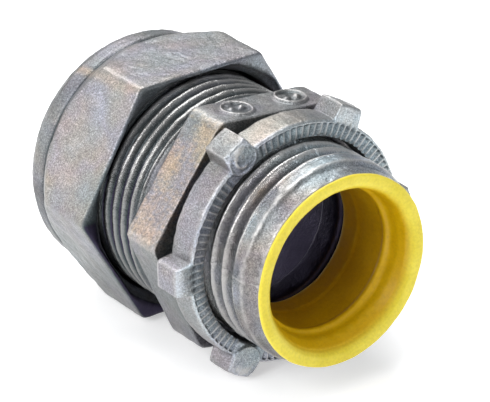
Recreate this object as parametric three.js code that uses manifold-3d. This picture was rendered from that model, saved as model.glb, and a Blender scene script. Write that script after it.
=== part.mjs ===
// Half-inch EMT compression connector: die-cast body, compression nut over a split gland
// ring, locknut and insulated throat. Millimetres. The bore runs along X: +X is the end
// that goes through the box knockout, -X the end that takes the conduit. +Z is up, and a
// flat of the compression nut faces straight down. The origin is the middle of the length.
import * as THREE from 'three';
import * as BufferGeometryUtils from 'three/addons/utils/BufferGeometryUtils.js';
import Module from 'manifold-3d';

const wasm = await Module();
wasm.setup();

// ---------- driving dimensions ----------
const LENGTH = 36.2; // throat face to nut rear
const SOCKET_R = 9.15; // bore that takes half-inch EMT, 17.93 mm across
const WIRE_R = 7.4; // bore past the conduit stop
const SIDES = 48; // facets round a turned surface
const GAP = 0.3; // running gap between neighbouring pieces

const BOX_THREAD = { radius: 10.67, pitch: 1.814, depth: 0.85 }; // 14 threads per inch
const GLAND_THREAD = { radius: 11.9, pitch: 1.411, depth: 0.75 }; // 18 threads per inch

// stations along the bore, measured back from the throat face
const BODY_FRONT = 0.75;
const LAST_CREST = { front: 2.3, rear: 3.8 };
const COLLAR = { front: 12.05, rear: 16.7, corner: 13.9, turn: 24 };
const BODY_REAR = 30;
const THROAT_SEAT = 9.85;
const CONDUIT_STOP = 13;
const LOCKNUT = { front: 7.35, thick: 3.5, ring: 12.8, lug: 14.6, lugs: 6, lugTurn: 31, lugWidth: 3.2 };
const TEETH = { count: 99, depth: 0.35, inner: 11.45 };
const PADS = { count: 3, half: 9.5 }; // smooth places among the teeth, at every other lug
const NUT = { front: 22.8, corner: 14.9, turn: 30, crease: 32.5, rim: 12.95, rearFlat: 11.2 };
const RING = { front: 30.2, rear: 34.2, bore: 9.15, slit: 1.4 };
const THROAT = { flange: 10.15, sleeve: 8.75, rear: 9.5 };
const EMBLEM = { spread: 3.3, back: 14.45, length: 3.1, width: 3.6, height: 0.25 };

const along = (station) => LENGTH / 2 - station; // station to X
const radians = THREE.MathUtils.degToRad;

// ---------- solids ----------
function solid(geometry) {
  const bare = geometry.clone();
  bare.deleteAttribute('normal');
  bare.deleteAttribute('uv');
  const merged = BufferGeometryUtils.mergeVertices(bare, 1e-5);
  return new wasm.Manifold(
    new wasm.Mesh({
      numProp: 3,
      vertProperties: new Float32Array(merged.attributes.position.array),
      triVerts: new Uint32Array(merged.index.array),
    }),
  );
}

function geometryOf(manifold) {
  const mesh = manifold.getMesh();
  const geometry = new THREE.BufferGeometry();
  geometry.setAttribute('position', new THREE.BufferAttribute(mesh.vertProperties, 3));
  geometry.setIndex(new THREE.BufferAttribute(mesh.triVerts, 1));
  return geometry;
}

// A ring turned about the bore. The section is [station, radius] pairs, from the front of
// the outside to its rear, then back along the inside.
function turned(section) {
  const points = section.map(([station, r]) => new THREE.Vector2(r, along(station)));
  points.push(points[0].clone());
  points.reverse();
  return solid(new THREE.LatheGeometry(points, SIDES).rotateZ(-Math.PI / 2));
}

// A hexagonal bar along the bore, with one corner `turn` degrees from the top.
function hexBar(corner, front, rear, turn) {
  const bar = new THREE.CylinderGeometry(corner, corner, rear - front, 6);
  bar.rotateZ(-Math.PI / 2);
  bar.rotateX(radians(turn));
  bar.translate(along((front + rear) / 2), 0, 0);
  return solid(bar);
}

// A block centred on the bore's top line, turned round the bore.
function block(station, radius, size, turn) {
  const box = new THREE.BoxGeometry(...size);
  box.translate(along(station), 0, radius);
  box.rotateX(radians(turn));
  return solid(box);
}

// Thread grooves as [station, radius] pairs, groove after groove.
function grooves(first, count, thread, flat) {
  const section = [];
  const root = thread.radius - thread.depth;
  const half = thread.pitch / 2;
  for (let i = 0; i < count; i++) {
    const middle = first + i * thread.pitch;
    section.push([middle - half + flat, thread.radius]);
    section.push([middle, root]);
    section.push([middle + half - flat, thread.radius]);
  }
  return section;
}

// ---------- pieces ----------
function connectorBody() {
  const boxRoot = BOX_THREAD.radius - BOX_THREAD.depth;
  const glandRoot = GLAND_THREAD.radius - GLAND_THREAD.depth;
  const outside = [
    [BODY_FRONT, 9.7],
    [LAST_CREST.front, BOX_THREAD.radius],
    ...grooves(LAST_CREST.rear + 1, 4, BOX_THREAD, 0.4),
    [COLLAR.front - 1, boxRoot],
    [COLLAR.front + 1, boxRoot],
    [COLLAR.rear - 1, glandRoot],
    [COLLAR.rear + 1.4, glandRoot],
    ...grooves(COLLAR.rear + 2.9, 7, GLAND_THREAD, 0.15),
    [BODY_REAR - 0.9, GLAND_THREAD.radius],
    [BODY_REAR, 11.2],
  ];
  const inside = [
    [BODY_REAR, 11],
    [BODY_REAR - 3.4, SOCKET_R],
    [CONDUIT_STOP, SOCKET_R],
    [CONDUIT_STOP, WIRE_R],
    [THROAT_SEAT, WIRE_R],
    [THROAT_SEAT, THROAT.sleeve + GAP],
    [BODY_FRONT, THROAT.sleeve + GAP],
  ];
  const edge = 0.5; // chamfer on the collar's corners
  const collarBlank = turned([
    [COLLAR.front, COLLAR.corner - edge],
    [COLLAR.front + edge, COLLAR.corner],
    [COLLAR.rear - edge, COLLAR.corner],
    [COLLAR.rear, COLLAR.corner - edge],
    [COLLAR.rear, SOCKET_R + 1],
    [COLLAR.front, SOCKET_R + 0.4],
  ]);
  const collar = collarBlank.intersect(
    hexBar(COLLAR.corner, COLLAR.front - 1, COLLAR.rear + 1, COLLAR.turn),
  );
  return turned([...outside, ...inside]).add(collar).add(emblem(-1)).add(emblem(1));
}

// Oval raised pads on the collar's top flat.
function emblem(side) {
  const flat = COLLAR.corner * Math.cos(Math.PI / 6);
  const oval = new THREE.CylinderGeometry(0.5, 0.5, 2 * EMBLEM.height, 20).rotateX(Math.PI / 2);
  oval.scale(EMBLEM.length, EMBLEM.width, 1);
  oval.translate(along(EMBLEM.back), side * EMBLEM.spread, flat);
  oval.rotateX(radians(COLLAR.turn - 30));
  return solid(oval);
}

function insulatedThroat() {
  return turned([
    [0.1, THROAT.flange - 0.05],
    [0.35, THROAT.flange],
    [BODY_FRONT - GAP, THROAT.flange - 0.15],
    [BODY_FRONT - GAP, 9.1],
    [1.2, THROAT.sleeve],
    [THROAT.rear - 0.4, THROAT.sleeve],
    [THROAT.rear, THROAT.sleeve - 0.3],
    [THROAT.rear, 7.25],
    [7.05, 7.3],
    [6.85, 7.5],
    [3.35, 7.7],
    [3.1, 7.9],
    [1.3, 8.1],
    [0.3, 8.42],
    [0, 8.7],
    [0, THROAT.flange - 0.15],
  ]);
}

function compressionNut() {
  const threadBore = GLAND_THREAD.radius + GAP;
  const flat = NUT.corner * Math.cos(Math.PI / 6);
  const blank = turned([
    [NUT.front, NUT.corner - 0.3],
    [NUT.front + 0.5, NUT.corner],
    [NUT.crease - 3, NUT.corner],
    [NUT.crease, flat - 0.15],
    [NUT.crease + 0.4, flat - 0.2],
    [NUT.crease + 0.4, SOCKET_R + 0.5],
    [NUT.front, SOCKET_R + 0.5],
  ]);
  const hex = blank.intersect(hexBar(NUT.corner, NUT.front - 1, NUT.crease + 1, NUT.turn));
  const rim = turned([
    [NUT.crease, flat - 0.25],
    [NUT.crease + 0.5, NUT.rim],
    [NUT.crease + 2.1, NUT.rim - 0.05],
    [LENGTH - 0.9, 12.35],
    [LENGTH - 0.2, 11.7],
    [LENGTH, NUT.rearFlat],
    [LENGTH, SOCKET_R + 0.5],
    [NUT.crease, SOCKET_R + 0.5],
  ]);
  const bore = turned([
    [NUT.front - 1, 13.4],
    [NUT.front + 0.9, threadBore],
    [RING.rear - 1.2, threadBore],
    [LENGTH - 1.2, 9.9],
    [LENGTH - 1.2, SOCKET_R + 0.1],
    [LENGTH - 0.3, SOCKET_R + 0.1],
    [LENGTH + 1, SOCKET_R + 1.4],
    [LENGTH + 1, 2],
    [NUT.front - 1, 2],
  ]);
  return hex.add(rim).subtract(bore);
}

// The steel ring that the nut squeezes onto the conduit, split by a slit through one side.
function glandRing() {
  const ring = turned([
    [RING.front, 9.7],
    [RING.front + 3, 11.3],
    [RING.front + 3.3, 11.3],
    [RING.rear, 10.5],
    [RING.rear, RING.bore],
    [RING.front, RING.bore],
  ]);
  const middle = (RING.front + RING.rear) / 2;
  return ring.subtract(block(middle, 10.2, [6, RING.slit, 4], 60));
}

function locknut() {
  const rear = LOCKNUT.front + LOCKNUT.thick;
  const bore = BOX_THREAD.radius + GAP;
  let nut = turned([
    [LOCKNUT.front, LOCKNUT.ring - 0.1],
    [LOCKNUT.front + 0.3, LOCKNUT.ring],
    [rear - 0.3, LOCKNUT.ring],
    [rear, LOCKNUT.ring - 0.3],
    [rear, bore + 0.3],
    [rear - 0.4, bore],
    [LOCKNUT.front + 0.4, bore],
    [LOCKNUT.front, bore + 0.4],
  ]);
  const middle = LOCKNUT.front + LOCKNUT.thick / 2;
  const lugHeight = LOCKNUT.lug - LOCKNUT.ring + 1;
  for (let i = 0; i < LOCKNUT.lugs; i++) {
    const turn = LOCKNUT.lugTurn + (i * 360) / LOCKNUT.lugs;
    const size = [LOCKNUT.thick, LOCKNUT.lugWidth, lugHeight];
    nut = nut.add(block(middle, LOCKNUT.lug - lugHeight / 2 - 0.05, size, turn));
  }
  return nut.subtract(toothGrooves());
}

// Degrees from a turn round the bore to the nearest smooth pad.
function fromPad(turn) {
  const step = 360 / PADS.count;
  return Math.abs(turn - LOCKNUT.lugTurn - step * Math.round((turn - LOCKNUT.lugTurn) / step));
}

// V grooves between the radial teeth on the locknut's front face.
function toothGrooves() {
  const width = ((2 * Math.PI * LOCKNUT.ring) / TEETH.count) * 0.35;
  const length = LOCKNUT.ring - TEETH.inner + 0.06;
  const cutters = [];
  for (let i = 0; i < TEETH.count; i++) {
    const turn = (i * 360) / TEETH.count;
    if (fromPad(turn) < PADS.half) continue;
    const groove = new THREE.CylinderGeometry(width, width, length, 3);
    groove.scale(TEETH.depth / width, 1, 1);
    groove.rotateX(Math.PI / 2);
    groove.translate(along(LOCKNUT.front), 0, TEETH.inner + length / 2 - 0.15);
    groove.rotateX(radians(turn));
    cutters.push(solid(groove));
  }
  return wasm.Manifold.union(cutters);
}

// ---------- assembly ----------
const ZINC = { color: 0x9a9a9c, roughness: 0.5, metalness: 0.85 };
const STEEL = { color: 0xb4b6ba, roughness: 0.35, metalness: 0.95 };
const YELLOW = { color: 0xe6c81e, roughness: 0.4, metalness: 0 };

const group = new THREE.Group();

function addPiece(name, manifold, finish) {
  const mesh = new THREE.Mesh(geometryOf(manifold), new THREE.MeshStandardMaterial(finish));
  mesh.name = name;
  group.add(mesh);
}

addPiece('connector_body', connectorBody(), ZINC);
addPiece('insulated_throat', insulatedThroat(), YELLOW);
addPiece('compression_nut', compressionNut(), ZINC);
addPiece('gland_ring', glandRing(), STEEL);
addPiece('locknut', locknut(), ZINC);

export default group;
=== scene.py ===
# Half-inch EMT compression connector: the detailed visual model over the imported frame.
#
# Every piece is a closed section swept round the bore. Lengths are mm until a mesh is made.
# A station is mm behind the throat's front face. A turn is degrees round the bore, from the
# top and over to the left as seen from the throat's end.
import math

import bpy
import numpy as np
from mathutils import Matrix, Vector


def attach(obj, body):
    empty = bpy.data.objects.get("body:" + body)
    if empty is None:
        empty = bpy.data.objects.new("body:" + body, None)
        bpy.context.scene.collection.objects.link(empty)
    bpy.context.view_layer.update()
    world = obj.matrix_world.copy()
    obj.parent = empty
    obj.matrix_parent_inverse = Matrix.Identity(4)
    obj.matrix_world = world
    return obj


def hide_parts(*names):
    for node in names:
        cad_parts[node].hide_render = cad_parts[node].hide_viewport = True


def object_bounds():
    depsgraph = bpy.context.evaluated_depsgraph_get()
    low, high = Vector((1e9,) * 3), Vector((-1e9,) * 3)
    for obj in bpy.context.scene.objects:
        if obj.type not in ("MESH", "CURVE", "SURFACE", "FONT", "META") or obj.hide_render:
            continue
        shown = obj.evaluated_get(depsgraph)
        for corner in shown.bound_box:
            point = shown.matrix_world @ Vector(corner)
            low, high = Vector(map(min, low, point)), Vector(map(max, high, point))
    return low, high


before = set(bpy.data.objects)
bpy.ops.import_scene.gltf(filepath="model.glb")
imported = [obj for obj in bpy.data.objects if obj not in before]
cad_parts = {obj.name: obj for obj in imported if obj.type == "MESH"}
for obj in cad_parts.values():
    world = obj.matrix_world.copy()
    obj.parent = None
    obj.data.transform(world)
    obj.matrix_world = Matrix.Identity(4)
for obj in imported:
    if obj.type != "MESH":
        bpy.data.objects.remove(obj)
cad_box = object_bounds()

MM = 0.001
FRONT = cad_box[1][0] / MM  # x of the throat face
TURN = 2 * math.pi

# ---------- driving dimensions ----------
FLANGE_REAR = 0.4
CONDUIT_STOP = 12.9
COLLAR = {"front": 12.05, "rear": 16.7, "corner": 13.85, "turn": 24}
BODY_REAR = 30.0
BOX_THREAD = {"crest": 10.62, "depth": 0.95, "pitch": 1.814, "groove": 4.72, "at": 40}
GLAND_THREAD = {"crest": 11.85, "depth": 0.62, "pitch": 1.411, "groove": 19.75, "at": 85}
PARTING = 84  # turn of one of the two die parting lines
# the raised ovals on the collar's top flat, side is how far right of the flat's middle
MARKS = ({"side": 3.35, "station": 14.5, "lift": 0.34}, {"side": -3.35, "station": 14.35, "lift": 0.26})
MARK_HALF = {"length": 1.8, "width": 1.85}
THROAT = {"lip": 10.17, "bore_rise": 0.33, "off_centre": (0, 0.10, -0.22)}
NUT = {"front": 22.8, "corner": 14.86, "turn": 30, "rim": 12.9, "rear": 36.15}
ROUGH_PATCHES = ({"station": 26.7, "turn": 22.6}, {"station": 27.4, "turn": 0.0})
GOUGES = 46
GLAND_RING = {"slit": 60, "half_slit": 3.95}  # turns
LOCKNUT = {"front": 7.4, "rear": 10.83, "ring": 12.85, "lug": 14.55, "turn": 31, "lugs": 6}
TEETH = {"count": 99, "inner": 11.2, "outer": 12.5, "depth": 0.27, "pads": 3, "half_pad": 9.5}
EJECTOR = {"radius": 12.95, "half": 1.8}
EDGE_PROUD = 0.07  # how far a fully worn edge stands out
CAMERA = {"azimuth": 36.94, "elevation": 26.66, "distance": 350, "right": -9.461, "up": 6.733}


# ---------- small maths ----------
def smooth(low, high, value):
    t = np.clip((value - low) / (high - low), 0, 1)
    return t * t * (3 - 2 * t)


def bump(middle, half, value):
    """1 at the middle, falling smoothly to 0 at half either side."""
    return smooth(0, 1, 1 - np.abs(value - middle) / half)


def around(theta, middle):
    """Degrees from a turn round the bore, between -180 and 180."""
    return (np.degrees(theta) - middle + 180) % 360 - 180


def hexagon(theta, corner, turn, crisp=70):
    """Radius of a hexagon with softly rounded corners, one of them at turn degrees."""
    flat = corner * math.cos(math.pi / 6) * 2 ** (1 / crisp)
    total = 0
    for side in range(6):
        facing = np.cos(theta - math.radians(turn + 30 + 60 * side))
        total = total + np.clip(facing, 0, 1) ** crisp
    return flat / total ** (1 / crisp)


def lower_of(a, b, blend):
    """Smooth minimum: the two surfaces meet in a fillet about blend wide."""
    h = np.clip(0.5 + 0.5 * (b - a) / blend, 0, 1)
    return b + (a - b) * h - blend * h * (1 - h)


def noise(points, wavelength, seed, waves=28):
    """Smooth random field of about unit size over points in mm."""
    rng = np.random.default_rng(seed)
    total = np.zeros(len(points))
    for _ in range(waves):
        direction = rng.normal(size=3)
        direction /= np.linalg.norm(direction)
        size = TURN / (wavelength * rng.uniform(0.7, 1.5))
        total += np.sin(points @ (direction * size) + rng.uniform(0, TURN))
    return total / math.sqrt(waves / 2)


def even_turns(count):
    return np.linspace(0, TURN, count, endpoint=False)


def denser_near(count, middle, half, extra):
    """Angles round the bore, extra times as dense within half degrees of the middle."""
    fine = np.linspace(0, TURN, 20000, endpoint=False)
    weight = 1 + (extra - 1) * smooth(half * 1.2, half, np.abs(around(fine, middle)))
    share = np.cumsum(weight) / weight.sum()
    return np.interp(np.arange(count) / count, share, fine)


def thread_depth(station, theta, thread, sharp):
    """1 in the bottom of the right-hand thread's groove, 0 on its crest."""
    turn = (station - thread["groove"]) / thread["pitch"] + (theta - math.radians(thread["at"])) / TURN
    return (0.5 + 0.5 * np.cos(TURN * turn)) ** sharp


# ---------- sweeping a section round the bore ----------
class Sweep:
    """A closed section of (station, radius) points carried round the bore.

    A section point is (station, radius, spacing): station and radius may vary round
    the bore, and spacing is how far apart the mesh rows are on the way to the next
    point. Rows are then softened, which rounds the section's corners.
    """

    def __init__(self, theta, section, soften, closed_round=True):
        self.theta = theta[:, None]
        self.closed_round = closed_round
        self.grime_and_shade = 0.0  # 0 where bare, up to 1 where painted dark: painted shade in bores, gaps and undersides, and darker grooves, grime and oxide
        self.tint_and_light = 0.0  # up to 1 where painted brown, the metal's tone and also a painted tan highlight; down to -1 where painted pale blue and lighter, as painted light
        self.wear_and_highlight = 1.0  # how bright its proud edges are painted: rubbed wear and painted highlight
        self.polish = 0.0  # up to 1 where it is smooth and shiny
        stations, radii = [], []
        ones = np.ones(len(theta))
        for i, (station, radius, spacing) in enumerate(section):
            after = section[(i + 1) % len(section)]
            along = np.mean(after[0]) - np.mean(station)
            out = np.mean(after[1]) - np.mean(radius)
            steps = max(1, round(math.hypot(along, out) / spacing))
            for step in range(steps):
                t = step / steps
                stations.append(ones * ((1 - t) * station + t * after[0]))
                radii.append(ones * ((1 - t) * radius + t * after[1]))
        self.station = np.stack(stations, axis=1)
        self.radius = np.stack(radii, axis=1)
        for _ in range(soften):
            self.station = self.softened(self.station, 1)
            self.radius = self.softened(self.radius, 1)

    @staticmethod
    def softened(values, axis):
        return 0.5 * values + 0.25 * (np.roll(values, 1, axis=axis) + np.roll(values, -1, axis=axis))

    def points(self):
        x = FRONT - self.station
        y = -self.radius * np.sin(self.theta)
        z = self.radius * np.cos(self.theta)
        return np.stack([x, y, z], axis=-1).reshape(-1, 3)

    def grid(self):
        return self.points().reshape(*self.radius.shape, 3)

    def normals(self):
        grid = self.grid()
        down = np.roll(grid, -1, axis=1) - np.roll(grid, 1, axis=1)
        if self.closed_round:
            along = np.roll(grid, -1, axis=0) - np.roll(grid, 1, axis=0)
        else:
            along = np.gradient(grid, axis=0)
        normal = np.cross(along, down)
        size = np.linalg.norm(normal, axis=-1, keepdims=True)
        return normal / np.maximum(size, 1e-9)

    def noise(self, wavelength, seed, waves=28):
        return noise(self.points(), wavelength, seed, waves).reshape(self.radius.shape)

    def roughen(self, wavelength, height, seed):
        """Cast unevenness, pushed along the surface's own normal."""
        push = height * self.noise(wavelength, seed)
        moved = self.grid() + self.normals() * push[..., None]
        self.station = FRONT - moved[..., 0]
        self.radius = np.hypot(moved[..., 1], moved[..., 2])

    def faces(self):
        """Quads between the rows, facing outwards, and end caps where the sweep is open."""
        rows, columns = self.radius.shape
        points = self.points()
        here = np.arange(rows * columns).reshape(rows, columns)
        if self.closed_round:
            after = np.roll(here, -1, axis=0)
        else:
            here, after = here[:-1], here[1:]
        right = np.roll(here, -1, axis=1)
        corner = np.roll(after, -1, axis=1)
        quads = np.stack([here, right, corner, after], axis=-1).reshape(-1, 4)
        a, b, c, d = (points[quads[:, k]] for k in range(4))
        outward = np.einsum("ij,ij->i", a, np.cross(b, c) + np.cross(c, d)).sum() > 0
        faces = (quads if outward else quads[:, ::-1]).tolist()
        if not self.closed_round:
            start = list(range(columns))
            end = [(rows - 1) * columns + k for k in range(columns)]
            faces += [start[::-1], end] if outward else [start, end[::-1]]
        return faces

    def piece(self, name, body, nodes, material, shift=(0, 0, 0)):
        faces = self.faces()
        mesh = bpy.data.meshes.new(name)
        mesh.from_pydata((self.points() * MM).tolist(), [], faces)
        mesh.polygons.foreach_set("use_smooth", [len(face) == 4 for face in faces])
        # proud edges are painted brighter, rubbed wear and painted highlight together; groove bottoms are
        # painted dark as painted shade
        edge = self.edge_rubbing_light_and_shade()
        edge = np.where(edge > 0, edge * self.wear_and_highlight, edge)
        paint = {"edge": edge, "grime_and_shade": self.grime_and_shade, "tint_and_light": self.tint_and_light, "polish": self.polish}
        for attribute, values in paint.items():
            values = (values + np.zeros(self.radius.shape)).astype(np.float32).reshape(-1)
            mesh.attributes.new(attribute, "FLOAT", "POINT").data.foreach_set("value", values)
        mesh.materials.append(material)
        mesh.validate()
        obj = bpy.data.objects.new(name, mesh)
        obj.location = np.array(shift) * MM
        bpy.context.collection.objects.link(obj)
        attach(obj, body)
        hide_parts(*nodes)
        return obj

    def edge_rubbing_light_and_shade(self):
        """How far each vertex stands proud of the surface around it: about +1 on a sharp
        outer edge, -1 in the bottom of a groove."""
        grid = self.grid()
        local = grid
        for _ in range(6):
            local = self.softened(local, 1)
            if self.closed_round:
                local = self.softened(local, 0)
        proud = ((grid - local) * self.normals()).sum(axis=-1) * self.outward_sign()
        return np.clip(proud / EDGE_PROUD, -1, 1)

    def outward_sign(self):
        """1 where normals() points out of the solid, -1 where it points into it."""
        outermost = np.unravel_index(np.argmax(self.radius), self.radius.shape)
        radial = self.grid()[outermost] * [0, 1, 1]
        return 1.0 if (self.normals()[outermost] * radial).sum() > 0 else -1.0


# ---------- connector body ----------
def body_section(theta):
    flats = hexagon(theta, COLLAR["corner"], COLLAR["turn"], crisp=42)
    fine, mid, wide = 0.145, 0.35, 1.2
    box_crest, gland_crest = BOX_THREAD["crest"], GLAND_THREAD["crest"]
    tip = FLANGE_REAR + 0.04
    return [
        (tip, 9.0, fine),
        (tip, 9.72, fine),
        (1.85, 10.22, fine),
        (2.3, box_crest, fine),
        (11.3, box_crest, 0.2),
        (11.45, 10.0, 0.2),
        (COLLAR["front"], 10.0, 0.35),
        (COLLAR["front"], flats - 0.55, 0.11),
        (COLLAR["front"], flats, 0.11),
        (COLLAR["front"] + 0.55, flats, 0.17),
        (COLLAR["rear"] - 0.55, flats, 0.11),
        (COLLAR["rear"], flats, 0.11),
        (COLLAR["rear"], flats - 0.55, 0.35),
        (COLLAR["rear"], 11.2, 0.2),
        (18.1, 11.25, fine),
        (18.5, gland_crest, 0.155),
        (24.2, gland_crest, 0.24),
        (29.2, gland_crest, 0.2),
        (BODY_REAR, 11.3, 0.2),
        (BODY_REAR, 11.05, mid),
        (26.6, 9.15, wide),
        (CONDUIT_STOP + 1.2, 9.15, mid),
        (CONDUIT_STOP, 9.15, mid),
        (CONDUIT_STOP, 7.42, 0.15),
        (CONDUIT_STOP - 0.7, 7.42, 0.5),
        (9.85, 7.42, 0.4),
        (9.85, 8.8, 0.8),
        (1.2, 8.8, 0.4),
    ]


def cut_threads(body):
    """Both threads, on the outside only and fading out towards the shoulders."""
    station, theta = body.station, body.theta
    die_shift = 0.05 * np.sign(around(theta, PARTING + 90))  # the two die halves sit a hair apart
    fade = smooth(3.35, 4.5, station) * smooth(11.35, 10.9, station) * (body.radius > 10.1)
    box_groove = fade * thread_depth(station + die_shift, theta, BOX_THREAD, 0.95)
    body.radius = body.radius - BOX_THREAD["depth"] * box_groove
    fade = smooth(18.2, 18.9, station) * smooth(29.6, 29.0, station) * (body.radius > 11.3)
    gland_groove = fade * thread_depth(station + die_shift, theta, GLAND_THREAD, 1.3)
    body.radius = body.radius - GLAND_THREAD["depth"] * gland_groove
    # the box thread's start is a shallow extra groove behind the slope, top right
    start = bump(1.98, 0.55, station) * bump(0, 80, around(theta, -42)) * (body.radius > 9.9)
    body.radius = body.radius - 0.2 * start
    return box_groove, gland_groove


def raise_flash(body):
    flash = sum(bump(0, 0.9, around(body.theta, PARTING + 180 * k)) for k in (0, 1))
    body.radius = body.radius + 0.05 * flash * (body.radius > 9.7)


def raise_marks(body):
    """Oval marks on the collar's top flat: a rim round two soft bumps. Gives the ovals and
    the hollows in them."""
    station, theta = body.station, body.theta
    facing = COLLAR["turn"] - 30
    sideways = -body.radius * np.sin(theta - math.radians(facing))
    on_flat = (body.radius > 11.5) & (np.abs(around(theta, facing)) < 30)
    on_flat = on_flat & (station > 12.4) & (station < 16.35)
    rough = body.noise(0.95, 15, 14)
    ovals = hollows = 0.0
    for mark in MARKS:
        along = (station - mark["station"]) / MARK_HALF["length"]
        across = sideways - mark["side"]
        away = np.hypot(along, across / MARK_HALF["width"])
        rim = bump(0.86, 0.16, away)
        dots = sum(bump(0, 0.34, np.hypot(along, (across - d) / MARK_HALF["width"])) for d in (-0.72, 0.72))
        dots = dots * (0.75 + 0.3 * rough) + 0.3 * smooth(0.8, 0.65, away) * np.clip(rough, 0, 1)
        body.radius = body.radius + on_flat * mark["lift"] * (rim + dots)
        ovals = np.maximum(ovals, on_flat * smooth(1.1, 0.95, away))
        hollows = hollows + on_flat * smooth(1.0, 0.85, away) * (1 - 0.8 * np.clip(rim + dots, 0, 1))
    return ovals, hollows


def paint_body(body, box_groove, gland_groove, ovals, hollows):
    station, radius, theta = body.station, body.radius, body.theta
    outside = radius > 9.6
    bore = (radius < 9.5) & (station > 9.0)
    valley = (station > COLLAR["rear"] - 0.1) & (station < BODY_REAR) & (radius > 9.5)
    behind_locknut = bump(11.6, 1.6, station) * (radius < 11.2) * (radius > 9.5)
    threads = np.maximum(smooth(17.5, 18.5, station), smooth(11.4, 11.0, station)) * outside
    top_right = smooth(75, 45, np.abs(around(theta, -50))) * (station < 11.4) * outside
    left_face = smooth(33, 29, np.abs(around(theta, COLLAR["turn"] + 30)))
    left_face = left_face * (station > 12) * (station < 16.6) * (radius > 11.9)
    shaded_underside = smooth(25, 110, np.abs(around(theta, 0))) * outside * (1 - left_face)
    specks = np.clip(body.noise(0.5, 17, 40), 0, 1.5)

    # painted shade: the bore, the valley between collar and nut, the gap behind the locknut and the whole
    # underside are darkened; the thread grooves and the hollows in the marks are darker too, and the left
    # face gets dark specks of grime
    body.grime_and_shade = 1.0 * bore + 0.25 * valley + 0.65 * behind_locknut + 0.6 * hollows
    body.grime_and_shade = body.grime_and_shade + 0.65 * gland_groove + 0.35 * box_groove
    body.grime_and_shade = body.grime_and_shade + 0.16 * left_face * specks + 0.34 * shaded_underside
    # the threads' crests and the marks' rims get the brightest proud edges: rubbed wear and painted
    # highlight
    body.wear_and_highlight = 0.45 + 0.75 * np.maximum(threads, 0.6 * ovals)
    body.polish = threads * smooth(2.4, 3.6, station) * (1 - 0.6 * top_right)
    slope = 0.22 * body.noise(4.0, 14) * (station < 6) * outside
    brown = np.clip(0.45 + 0.3 * body.noise(4.0, 13) + 0.3 * body.noise(0.55, 16), 0, 1)
    # painted light: the front thread's top right is painted paler and bluer; the slope's patches and the
    # left face's brown are the metal's own tone
    body.tint_and_light = slope - 0.8 * top_right + left_face * brown


def connector_body(material):
    theta = denser_near(372, COLLAR["turn"] - 30, 26, 2.6)
    body = Sweep(theta, body_section(theta), soften=3)
    box_groove, gland_groove = cut_threads(body)
    raise_flash(body)
    ovals, hollows = raise_marks(body)
    paint_body(body, box_groove, gland_groove, ovals, hollows)
    body.roughen(2.2, 0.016, 11)
    body.roughen(0.75, 0.008, 12)
    return body.piece("connector_body_cast", "fitting_body", ["connector_body"], material)


# ---------- insulated throat ----------
def throat_section():
    fine, close, lip = 0.1, 0.07, THROAT["lip"]
    return [
        (0.12, lip - 0.05, fine),
        (FLANGE_REAR - 0.05, lip, fine),
        (FLANGE_REAR, lip - 0.2, 0.3),
        (FLANGE_REAR, 8.9, 0.3),
        (1.1, 8.6, 0.5),
        (9.0, 8.6, 0.3),
        (9.3, 8.4, 0.2),
        (9.3, 7.35, fine),
        (9.1, 7.2, 0.2),
        (7.05, 7.28, fine),
        (6.85, 7.38, fine),
        (6.5, 7.42, 0.25),
        (4.3, 7.6, fine),
        (3.6, 7.68, close),
        (3.3, 7.56, close),
        (3.0, 7.62, close),
        (2.7, 7.9, close),
        (2.4, 8.02, 0.2),
        (1.6, 8.1, fine),
        (0.8, 8.36, close),
        (0.35, 8.66, close),
        (0.08, 9.0, close),
        (0.0, 9.35, fine),
        (0.0, lip - 0.15, fine),
    ]


def insulated_throat(material):
    throat = Sweep(even_turns(288), throat_section(), soften=2)
    station = throat.station
    # the lip is palest, and the sleeve darkens the deeper it goes: painted shade inside the funnel,
    # together with the metal behind the plastic
    throat.grime_and_shade = 0.5 * smooth(0.0, 0.9, station) + 0.28 * smooth(2.9, 3.7, station)
    throat.grime_and_shade = throat.grime_and_shade + 0.22 * smooth(5.0, 9.0, station)
    # the sleeve's bore is moulded a little above the middle of the lip
    rise = THROAT["bore_rise"] * np.cos(throat.theta) * smooth(0.3, 2.2, station)
    throat.radius = throat.radius + rise * (throat.radius < 8.45)
    throat.roughen(3.0, 0.012, 21)
    throat.roughen(0.9, 0.004, 22)
    return throat.piece(
        "insulated_throat_lining",
        "fitting_body",
        ["insulated_throat"],
        material,
        THROAT["off_centre"],
    )


# ---------- compression nut ----------
def nut_section(theta):
    flats = hexagon(theta, NUT["corner"], NUT["turn"])
    mouth_edge = np.minimum(13.2, flats - 0.32)
    front, rear, rim, fine = NUT["front"], NUT["rear"], NUT["rim"], 0.14
    return [
        (front + 0.15, mouth_edge - 0.18, fine),
        (front, mouth_edge, fine),
        (front, flats - 0.3, fine),
        (front + 0.3, flats, 0.2),
        (29.0, flats, fine),
        (32.4, flats, fine),
        (32.6, rim - 0.12, fine),
        (33.2, rim, fine),
        (34.5, rim - 0.03, fine),
        (35.5, 12.32, fine),
        (rear - 0.1, 11.6, fine),
        (rear, 11.2, 0.22),
        (rear, 9.95, 0.2),
        (rear - 0.35, 9.35, 0.3),
        (35.0, 9.3, 0.5),
        (35.0, 9.85, 0.4),
        (33.05, 12.15, 0.4),
        (32.6, 12.15, 0.5),
        (25.5, 12.15, 0.18),
        (24.1, 12.15, fine),
    ]


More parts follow.
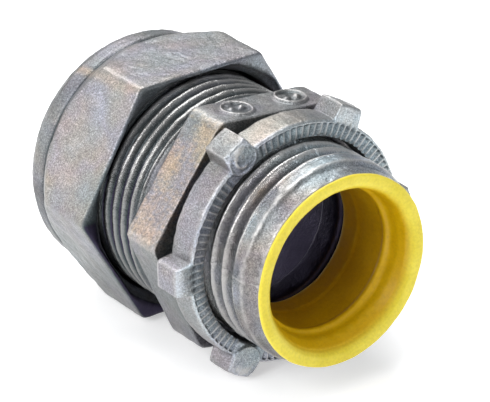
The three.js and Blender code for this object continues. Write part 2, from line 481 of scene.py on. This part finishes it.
def shape_nut(nut):
    """The cone behind the flats, the crease at its rim, the female thread, two rough patches
    and shallow gouges. Gives the rough patches."""
    station, radius, theta, front = nut.station, nut.radius, nut.theta, NUT["front"]
    grain = nut.noise(0.75, 35)
    outside = (radius > 12.2) & (station > front + 0.4) & (station < 32.9)
    cone = NUT["corner"] + 0.05 - (station - 29.45) * 0.66
    radius = np.where(outside, lower_of(radius, cone, 0.25), radius)
    wave = 0.12 * np.sin(5 * theta + 1.0) + 0.06 * np.sin(13 * theta)
    radius = radius - 0.05 * bump(32.6, 0.5, station + wave) * (radius > 12.2)
    threaded = (radius < 12.6) & (radius > 11.9) & (station > front + 1.0) & (station < 32.8)
    depth = 0.3 * threaded * smooth(front + 0.9, front + 1.8, station)
    radius = radius + depth * thread_depth(station, theta, GLAND_THREAD, 1.0)
    mm_per_degree = 0.225
    patches = 0.0
    for patch in ROUGH_PATCHES:
        across = around(theta, patch["turn"]) * mm_per_degree
        away = np.hypot((station - patch["station"]) / 2.6, across / 1.1)
        patches = np.maximum(patches, smooth(0, 0.5, bump(0, 1, away)) * outside)
    radius = radius + 0.012 * patches * grain
    mm_per_degree = 0.24
    rng = np.random.default_rng(5)
    for _ in range(GOUGES):
        where, turn, size = rng.uniform(23.5, 31.5), rng.uniform(0, 360), rng.uniform(0.25, 0.8)
        across = around(theta, turn) * mm_per_degree / (size * rng.uniform(0.6, 2.2))
        away = np.hypot((station - where) / size, across)
        radius = radius - rng.uniform(0.02, 0.06) * bump(0, 1, away) * (radius > 12.5)
    nut.radius = radius
    return patches


def paint_nut(nut, patches):
    station, radius, theta, front = nut.station, nut.radius, nut.theta, NUT["front"]
    mouth = smooth(front + 0.3, front + 0.12, station)
    funnel = (radius < 13.1 - 0.62 * (station - front)) * (station < 24.4)
    inside = (radius < 12.75) * (station < 35.2)
    rim = (station > 32.6) * (radius > 11)
    shaded_underside = smooth(94, 86, np.abs(around(theta, 180))) * (radius > 12.6)
    lit_side = smooth(15, -15, np.abs(around(theta, -30)) - 30)
    left_corner = bump(0, 4.5, around(theta, NUT["turn"] + 2))
    left_flat = bump(0, 16, around(theta, NUT["turn"] + 50)) * (station < 32)
    patchy = np.clip(0.6 + 0.4 * nut.noise(3.0, 33), 0, 1)

    # painted shade: the mouth (less on the lit side, as painted light), the inside, the rim behind the
    # flats and the underside are darkened
    nut.grime_and_shade = np.maximum((0.72 - 0.35 * lit_side) * mouth, np.where(funnel, 0.0, 0.5 * inside))
    nut.grime_and_shade = nut.grime_and_shade + 0.26 * rim + 0.4 * shaded_underside
    # proud edges painted brighter, more on the rough patches: rubbed wear and painted highlight
    nut.wear_and_highlight = 0.35 + 0.3 * patches
    # the brown at the left corner and flat and the paler rough patches are the metal's own colour; painted
    # light: the mouth and funnel are painted paler and bluer
    nut.tint_and_light = 0.1 * nut.noise(4.5, 34) + patchy * (left_corner + 0.4 * left_flat) * (radius > 12.6)
    nut.tint_and_light = nut.tint_and_light - 0.6 * np.maximum(mouth, funnel) - 0.22 * patches


def compression_nut(material):
    theta = even_turns(432)
    nut = Sweep(theta, nut_section(theta), soften=3)
    patches = shape_nut(nut)
    paint_nut(nut, patches)
    nut.roughen(2.4, 0.012, 31)
    nut.roughen(0.8, 0.009, 32)
    body = "compression_nut"
    return nut.piece("compression_nut_cast", body, ["compression_nut"], material)


# ---------- gland ring ----------
def gland_ring(material):
    start, half_slit = math.radians(GLAND_RING["slit"]), math.radians(GLAND_RING["half_slit"])
    theta = np.linspace(start + half_slit, start + TURN - half_slit, 220)
    section = [
        (30.25, 9.25, 0.15),
        (30.25, 9.65, 0.2),
        (33.15, 11.25, 0.12),
        (33.5, 11.25, 0.12),
        (34.15, 10.5, 0.15),
        (34.15, 9.3, 0.15),
        (34.0, 9.2, 0.3),
        (30.4, 9.2, 0.12),
    ]
    ring = Sweep(theta, section, soften=2, closed_round=False)
    turning_marks = 0.02 * np.sin(TURN * ring.station / 0.5)
    ring.radius += turning_marks * (ring.radius > 9.8)
    return ring.piece("gland_ring_split", "gland_ring", ["gland_ring"], material)


# ---------- locknut ----------
def locknut_section(theta):
    front, rear, fine = LOCKNUT["front"], LOCKNUT["rear"], 0.16
    step = 360 / LOCKNUT["lugs"]
    degrees = np.degrees(theta) - LOCKNUT["turn"]
    from_lug = np.abs(degrees - step * np.round(degrees / step))
    outer = LOCKNUT["ring"] + (LOCKNUT["lug"] - LOCKNUT["ring"]) * smooth(7.9, 5.3, from_lug)
    return [
        (front, 11.3, fine),
        (front, 12.3, 0.14),
        (front, outer - 0.22, 0.14),
        (front + 0.22, outer, 0.22),
        (front + 0.6, outer, 0.45),
        (rear - 0.6, outer, 0.2),
        (rear - 0.2, outer, 0.14),
        (rear, outer - 0.2, 0.25),
        (rear, 12.3, 0.3),
        (rear, 11.3, 0.2),
        (rear - 0.3, 10.98, 0.24),
        (front + 0.45, 10.98, 0.14),
        (front + 0.1, 11.1, 0.1),
    ]


def cut_teeth(nut, face, off_pad):
    """Radial teeth on the front face. Gives where they are, and 1 in the bottom of each gap."""
    band = smooth(TEETH["inner"] - 0.25, TEETH["inner"] + 0.05, nut.radius)
    band = band * smooth(TEETH["outer"] + 0.08, TEETH["outer"] - 0.1, nut.radius)
    toothed = face * band * off_pad
    gaps = 0.5 - 0.5 * np.cos(TEETH["count"] * nut.theta)
    nut.station = nut.station + TEETH["depth"] * toothed * gaps**0.75
    return toothed, gaps


def mark_pads(nut, face, from_pad):
    """Ejector marks: a round rim with a slightly sunk middle on each pad, and an arc on one.
    Gives how far everything is from the middle of the nearest mark."""
    sideways = nut.radius * np.sin(np.radians(from_pad))
    away = np.hypot(nut.radius - EJECTOR["radius"], sideways)
    disc = 0.16 * smooth(EJECTOR["half"], EJECTOR["half"] - 0.14, away)
    rim = 0.1 * bump(EJECTOR["half"] - 0.2, 0.16, away)
    nut.station = nut.station - face * (np.abs(from_pad) < 12) * (disc + rim)
    arc = bump(0.85, 0.27, away) * smooth(-0.3, 0.3, sideways)
    arc = arc * (np.abs(around(nut.theta, LOCKNUT["turn"])) < 12)
    nut.station = nut.station - 0.2 * face * arc
    return away


def locknut(material):
    theta = even_turns(12 * TEETH["count"])
    nut = Sweep(theta, locknut_section(theta), soften=2)
    front, rear = LOCKNUT["front"], LOCKNUT["rear"]
    face = smooth(front + 0.32, front + 0.12, nut.station)
    # a smooth pad at every other lug interrupts the teeth
    step = 360 / TEETH["pads"]
    from_pad = np.degrees(nut.theta) - LOCKNUT["turn"]
    from_pad = from_pad - step * np.round(from_pad / step)
    off_pad = smooth(TEETH["half_pad"] - 0.6, TEETH["half_pad"] + 0.4, np.abs(from_pad))
    toothed, gaps = cut_teeth(nut, face, off_pad)
    away = mark_pads(nut, face, from_pad)

    station = nut.station
    inner = (nut.radius < 11.2) & (station > front + 0.3) & (station < rear - 0.2)
    nut.radius = nut.radius + 0.22 * inner * thread_depth(station, nut.theta, BOX_THREAD, 1.0)
    # painted shade in the bore and in the bottoms of the tooth gaps
    nut.grime_and_shade = 0.7 * (nut.radius < 11.1) + 0.1 * toothed * smooth(0.3, 0.9, gaps)
    # the teeth's crests and the ejector discs get bright proud edges: rubbed wear and painted highlight
    worn_and_highlit = np.maximum(off_pad * smooth(12.6, 12.4, nut.radius), smooth(1.4, 1.2, away))
    nut.wear_and_highlight = 0.5 + 1.0 * face * worn_and_highlit
    # painted light: a painted tan highlight along the ring's top, and the whole front face painted paler
    # and bluer
    nut.tint_and_light = 0.5 * bump(0, 26, around(nut.theta, 10)) * (station > front + 0.3) - face
    nut.roughen(1.8, 0.018, 41)
    nut.roughen(0.7, 0.01, 42)
    return nut.piece("locknut_cast", "locknut", ["locknut"], material)


# ---------- materials ----------
class Nodes:
    """A short way to write shader nodes."""

    def __init__(self, name):
        self.material = bpy.data.materials.new(name)
        self.material.use_nodes = True
        self.tree = self.material.node_tree
        self.shader = self.tree.nodes["Principled BSDF"]
        self.coords = self.tree.nodes.new("ShaderNodeTexCoord").outputs["Object"]

    def link(self, source, target):
        if isinstance(source, (int, float)):
            target.default_value = source
        else:
            self.tree.links.new(source, target)

    def noise(self, per_mm, detail=3.0, rough=0.55):
        node = self.tree.nodes.new("ShaderNodeTexNoise")
        self.link(self.coords, node.inputs["Vector"])
        node.inputs["Scale"].default_value = per_mm / MM
        node.inputs["Detail"].default_value = detail
        node.inputs["Roughness"].default_value = rough
        return node.outputs["Fac"]

    def cells(self, per_mm):
        node = self.tree.nodes.new("ShaderNodeTexVoronoi")
        self.link(self.coords, node.inputs["Vector"])
        node.inputs["Scale"].default_value = per_mm / MM
        return node.outputs["Distance"]

    def attribute(self, name):
        node = self.tree.nodes.new("ShaderNodeAttribute")
        node.attribute_name = name
        return node.outputs["Fac"]

    def ramp(self, value, *stops):
        node = self.tree.nodes.new("ShaderNodeValToRGB")
        ramp = node.color_ramp
        while len(ramp.elements) < len(stops):
            ramp.elements.new(0.5)
        for element, (place, colour) in zip(ramp.elements, stops):
            element.position = place
            grey = isinstance(colour, (int, float))
            element.color = (colour, colour, colour, 1) if grey else (*colour, 1)
        self.link(value, node.inputs["Fac"])
        return node.outputs["Color"]

    def mix(self, share, a, b, kind="MIX"):
        node = self.tree.nodes.new("ShaderNodeMix")
        node.data_type = "RGBA"
        node.blend_type = kind
        self.link(share, node.inputs["Factor"])
        for source, target in ((a, node.inputs["A"]), (b, node.inputs["B"])):
            if isinstance(source, float):
                source = (source, source, source)
            if isinstance(source, tuple):
                target.default_value = (*source, 1)
            else:
                self.link(source, target)
        return node.outputs["Result"]

    def scaled(self, value, low, high, new_low, new_high):
        node = self.tree.nodes.new("ShaderNodeMapRange")
        self.link(value, node.inputs["Value"])
        limits = {"From Min": low, "From Max": high, "To Min": new_low, "To Max": new_high}
        for name, number in limits.items():
            node.inputs[name].default_value = number
        return node.outputs["Result"]

    def added(self, a, b):
        node = self.tree.nodes.new("ShaderNodeMath")
        node.operation = "ADD"
        self.link(a, node.inputs[0])
        self.link(b, node.inputs[1])
        return node.outputs["Value"]

    def bump(self, height, distance_mm, strength=1.0):
        node = self.tree.nodes.new("ShaderNodeBump")
        node.inputs["Strength"].default_value = strength
        node.inputs["Distance"].default_value = distance_mm * MM
        self.link(height, node.inputs["Height"])
        self.link(node.outputs["Normal"], self.shader.inputs["Normal"])


def zinc(name):
    n = Nodes(name)
    patches = n.ramp(
        n.noise(0.14, 2, 0.5),
        (0.32, (0.205, 0.220, 0.222)),
        (0.46, (0.228, 0.228, 0.230)),
        (0.56, (0.232, 0.222, 0.246)),
        (0.68, (0.240, 0.232, 0.226)),
    )
    grain = n.ramp(n.noise(6.5, 2, 0.7), (0.3, 0.45), (0.5, 1.0), (0.72, 1.9))
    speckle = n.ramp(n.cells(3.2), (0.0, 1.25), (0.25, 1.0), (0.75, 0.82))
    colour = n.mix(0.85, patches, grain, "MULTIPLY")
    colour = n.mix(0.5, colour, speckle, "MULTIPLY")
    tints = n.ramp(
        n.noise(0.4, 2, 0.5),
        (0.36, (0.94, 1.0, 1.03)),
        (0.5, (1, 1, 1)),
        (0.64, (1.07, 1.0, 0.93)),
    )
    colour = n.mix(0.5, colour, tints, "MULTIPLY")
    # brown tints, a painted tan highlight among them, pale blue tints painted lighter as painted light,
    # worn edges with painted highlights, painted shade in grooves, and painted shade with oxide
    tint_and_light = n.attribute("tint_and_light")
    colour = n.mix(tint_and_light, colour, n.mix(1.0, colour, (1.48, 1.24, 0.96), "MULTIPLY"))
    pale_blue_and_light = n.scaled(tint_and_light, 0.0, -1.0, 0.0, 1.0)
    colour = n.mix(pale_blue_and_light, colour, n.mix(1.0, colour, (1.5, 1.68, 1.8), "MULTIPLY"))
    edge = n.attribute("edge")
    # proud edges painted pale, rubbed wear and painted highlight; groove bottoms painted dark as painted
    # shade
    colour = n.mix(n.scaled(edge, 0.2, 1.0, 0.0, 0.6), colour, (0.64, 0.62, 0.60))
    colour = n.mix(n.scaled(edge, -0.15, -1.0, 0.0, 0.45), colour, (0.06, 0.066, 0.07))
    # painted shade with oxide: dark teal, then purple where the attribute is highest
    grime_and_shade = n.attribute("grime_and_shade")
    oxide_and_shade = n.ramp(grime_and_shade, (0.9, (0.030, 0.042, 0.046)), (1.0, (0.030, 0.025, 0.048)))
    n.link(n.mix(grime_and_shade, colour, oxide_and_shade), n.shader.inputs["Base Color"])
    n.shader.inputs["Metallic"].default_value = 0.88
    satin = n.scaled(n.noise(0.7, 3, 0.6), 0.3, 0.7, 0.29, 0.42)
    polish = n.scaled(n.attribute("polish"), 0.0, 1.0, 0.0, 0.7)
    n.link(n.mix(polish, satin, 0.2), n.shader.inputs["Roughness"])
    n.bump(n.added(n.noise(7.0, 2, 0.6), n.noise(2.6, 2, 0.5)), 0.042, 0.9)
    return n.material


def yellow_plastic():
    n = Nodes("yellow_thermoplastic")
    blotches = n.noise(0.25, 3, 0.5)
    pale = n.ramp(blotches, (0.35, (0.63, 0.52, 0.03)), (0.65, (0.70, 0.59, 0.055)))
    middle = n.ramp(blotches, (0.35, (0.53, 0.32, 0.001)), (0.65, (0.60, 0.37, 0.002)))
    deep = n.ramp(blotches, (0.35, (0.30, 0.15, 0.001)), (0.65, (0.36, 0.19, 0.001)))
    # darker and more orange deeper in: painted shade inside the funnel, together with the metal behind the
    # plastic
    depth = n.attribute("grime_and_shade")
    colour = n.mix(n.scaled(depth, 0.0, 0.5, 0.0, 1.0), pale, middle)
    colour = n.mix(n.scaled(depth, 0.5, 0.9, 0.0, 1.0), colour, deep)
    mottle = n.ramp(n.noise(3.5, 2, 0.6), (0.3, 0.88), (0.6, 1.05))
    colour = n.mix(0.8, colour, mottle, "MULTIPLY")
    # painted highlight on the proud edges, such as the ridge in the sleeve
    colour = n.mix(n.scaled(n.attribute("edge"), 0.1, 1.0, 0.0, 0.45), colour, (0.80, 0.66, 0.08))
    n.link(colour, n.shader.inputs["Base Color"])
    n.link(n.scaled(n.noise(1.2, 2, 0.5), 0.3, 0.7, 0.32, 0.46), n.shader.inputs["Roughness"])
    n.shader.inputs["Specular IOR Level"].default_value = 0.3
    n.shader.inputs["Subsurface Weight"].default_value = 0.1
    n.shader.inputs["Subsurface Radius"].default_value = (0.9, 0.6, 0.1)
    n.shader.inputs["Subsurface Scale"].default_value = 1.0 * MM
    n.bump(n.noise(3.0, 3, 0.6), 0.02, 0.5)
    return n.material


def steel():
    n = Nodes("spring_steel")
    colour = n.ramp(n.noise(2.0, 3, 0.6), (0.3, (0.42, 0.43, 0.44)), (0.7, (0.6, 0.6, 0.6)))
    n.link(colour, n.shader.inputs["Base Color"])
    n.shader.inputs["Metallic"].default_value = 0.9
    n.link(n.scaled(n.noise(1.4, 2, 0.5), 0.3, 0.7, 0.3, 0.45), n.shader.inputs["Roughness"])
    n.bump(n.noise(2.0, 2, 0.5), 0.008, 0.5)
    return n.material


# ---------- floor, light and camera, in metres ----------
def floor():
    mesh = bpy.data.meshes.new("floor")
    half, low = 4.0, cad_box[0][2]
    corners = [(-half, -half, low), (half, -half, low), (half, half, low), (-half, half, low)]
    mesh.from_pydata(corners, [], [(0, 1, 2, 3)])
    n = Nodes("floor_white")
    n.shader.inputs["Base Color"].default_value = (0.9, 0.9, 0.9, 1)
    n.shader.inputs["Roughness"].default_value = 0.9
    n.shader.inputs["Emission Color"].default_value = (1, 1, 1, 1)
    n.shader.inputs["Emission Strength"].default_value = 0.4
    mesh.materials.append(n.material)
    obj = bpy.data.objects.new("floor", mesh)
    bpy.context.collection.objects.link(obj)


def look_rotation(direction):
    return Vector(direction).to_track_quat("-Z", "Y").to_euler()


def softbox(name, place, size, watts):
    """A rectangular lamp that faces the origin."""
    lamp = bpy.data.lights.new(name, "AREA")
    lamp.shape = "RECTANGLE"
    lamp.size, lamp.size_y = size
    lamp.energy = watts
    obj = bpy.data.objects.new(name, lamp)
    obj.location = place
    obj.rotation_euler = look_rotation(-np.array(place))
    bpy.context.collection.objects.link(obj)


def camera():
    azimuth, elevation = math.radians(CAMERA["azimuth"]), math.radians(CAMERA["elevation"])
    level = math.cos(elevation)
    out = np.array([math.cos(azimuth) * level, -math.sin(azimuth) * level, math.sin(elevation)])
    right = np.cross(-out, [0, 0, 1])
    right /= np.linalg.norm(right)
    up = np.cross(right, -out)
    throat_centre = np.array([FRONT * MM, 0, 0])
    reach = CAMERA["distance"] * MM * out
    data = bpy.data.cameras.new("camera")
    data.lens = 265.4
    data.sensor_width = 36
    data.clip_start, data.clip_end = 0.01, 20
    obj = bpy.data.objects.new("camera", data)
    obj.location = throat_centre + reach + CAMERA["right"] * MM * right + CAMERA["up"] * MM * up
    obj.rotation_euler = look_rotation(-out)
    bpy.context.collection.objects.link(obj)
    bpy.context.scene.camera = obj


def sky():
    world = bpy.data.worlds.new("world")
    bpy.context.scene.world = world
    world.use_nodes = True
    background = world.node_tree.nodes["Background"]
    background.inputs["Color"].default_value = (0.95, 0.97, 1.0, 1)
    background.inputs["Strength"].default_value = 0.42
    bpy.context.scene.view_settings.view_transform = "Standard"


zinc_cast = zinc("die_cast_zinc")
connector_body(zinc_cast)
insulated_throat(yellow_plastic())
compression_nut(zinc_cast)
gland_ring(steel())
locknut(zinc_cast)

floor()
camera()
softbox("key", (0.05, -0.5, 0.35), (0.35, 0.35), 1.9)
softbox("left_rear", (-0.40, -0.37, 0.16), (0.25, 0.25), 0.62)
softbox("rear_top", (-0.40, 0.06, 0.39), (0.56, 0.3), 1.7)
softbox("overhead", (-0.15, 0.05, 0.7), (0.4, 0.4), 2.7)
softbox("front", (0.60, 0.10, 0.26), (0.25, 0.25), 0.8)
sky()
